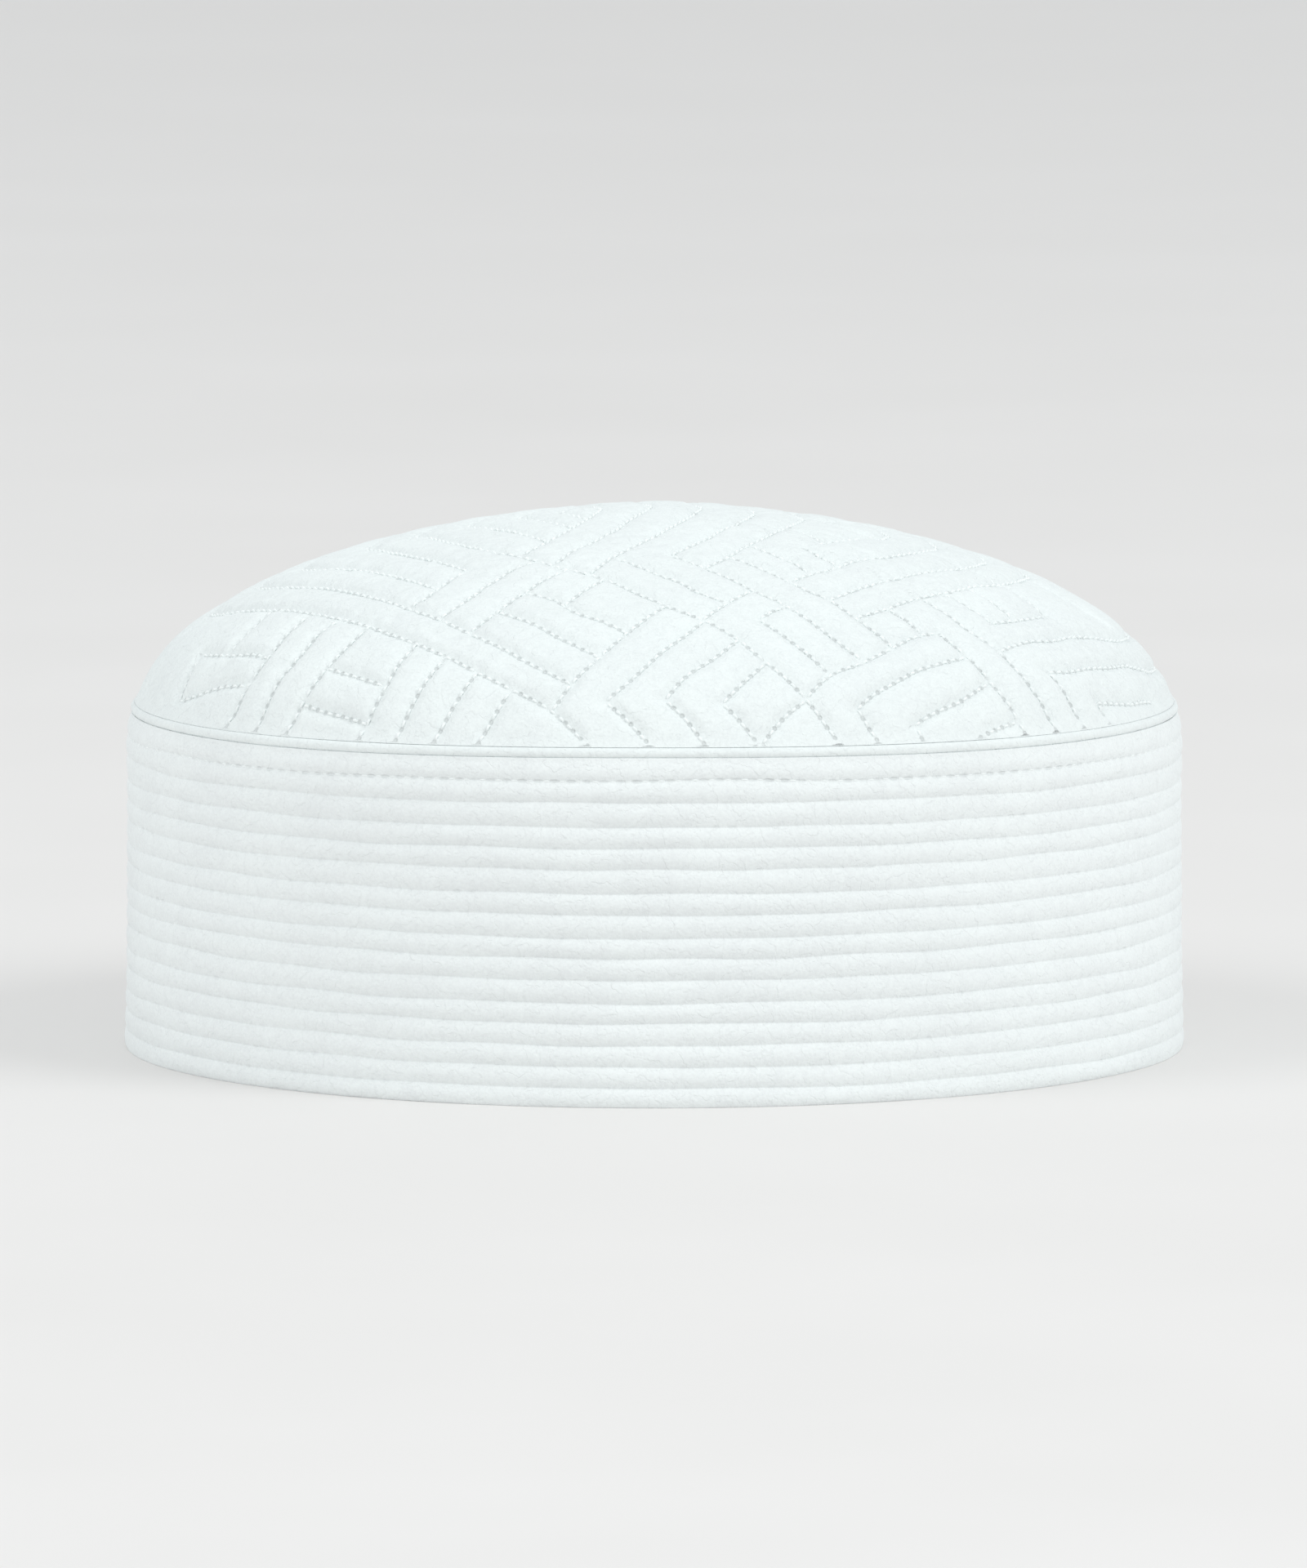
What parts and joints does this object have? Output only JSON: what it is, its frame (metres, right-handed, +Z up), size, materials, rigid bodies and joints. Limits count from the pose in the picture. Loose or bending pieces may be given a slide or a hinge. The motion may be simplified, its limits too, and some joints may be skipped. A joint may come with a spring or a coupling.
{
  "type": "kufi cap",
  "caption": "Round brimless cap: a shallow quilted dome joined by a thin piping to a tall, straight wall of stuffed horizontal ribs, hollow and open below for the head.",
  "frame": {"origin": "centre of the hem, on the surface that the cap stands on", "axes": "+Z up along the cap's round axis, -Y towards the front of the cap, +X to its left as worn"},
  "size_m": [0.1878, 0.1878, 0.0962],
  "materials": {
    "quilted_cloth": "soft brushed white cloth, padded and quilted in straight stitched lines",
    "piping_cloth": "soft brushed white cloth folded over a thin cord",
    "corded_cloth": "soft brushed white cloth stitched over rows of cord"
  },
  "bodies": {
    "root": {"crown": "quilted_cloth", "crown_piping": "piping_cloth", "band": "corded_cloth"}
  },
  "joints": []
}
